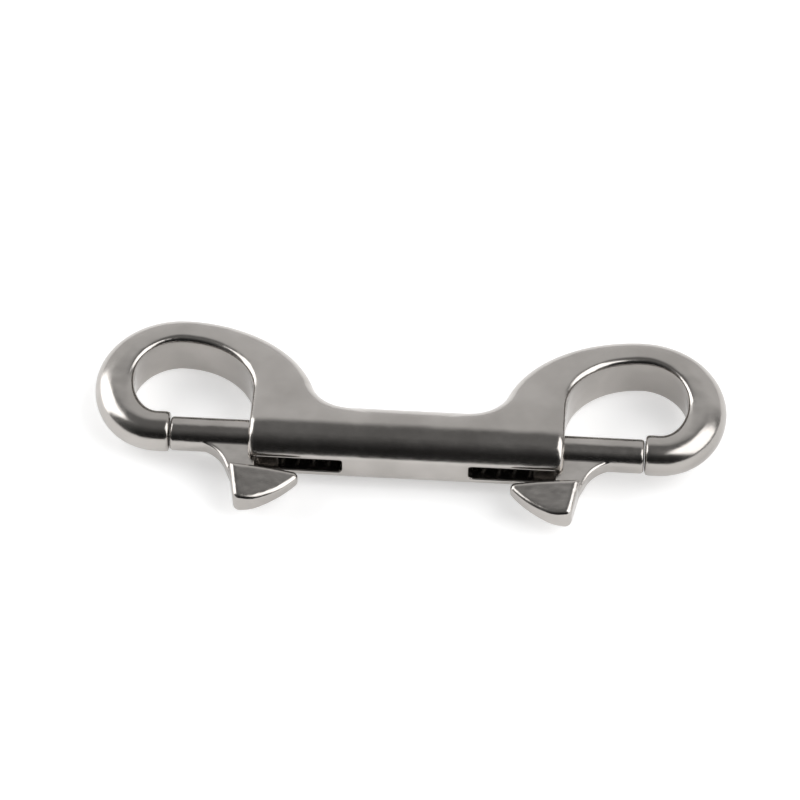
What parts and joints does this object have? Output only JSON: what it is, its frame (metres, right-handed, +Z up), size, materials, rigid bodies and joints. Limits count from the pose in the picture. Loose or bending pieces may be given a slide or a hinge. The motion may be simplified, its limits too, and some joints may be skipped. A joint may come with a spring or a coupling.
{
  "type": "double ended snap hook",
  "caption": "Cast double ended bolt snap: a round barrel with a fixed eye at each end, each closed by a sprung bolt with a thumb pad.",
  "frame": {"origin": "middle of the footprint, on the surface that the snap lies on", "axes": "+X along the barrel towards the right eye, +Y from the thumb pads to the eyes, +Z up through the thickness"},
  "size_m": [0.1, 0.0348, 0.0108],
  "materials": {
    "cast_stainless": "mirror polished investment casting",
    "spring_steel": "drawn stainless spring wire"
  },
  "bodies": {
    "frame": {"body": "cast_stainless", "left_spring": "spring_steel", "right_spring": "spring_steel"},
    "left_bolt": {"left_bolt": "cast_stainless"},
    "right_bolt": {"right_bolt": "cast_stainless"}
  },
  "joints": [
    {"name": "left_bolt_slide", "type": "slide", "parent": "frame", "child": "left_bolt", "axis": [1, 0, 0], "range_m": [0, 0.0133], "stiffness_N_per_m": 350, "springref_m": -0.008, "deforming": ["left_spring"]},
    {"name": "right_bolt_slide", "type": "slide", "parent": "frame", "child": "right_bolt", "axis": [-1, 0, 0], "range_m": [0, 0.0133], "stiffness_N_per_m": 350, "springref_m": -0.008, "deforming": ["right_spring"]}
  ]
}
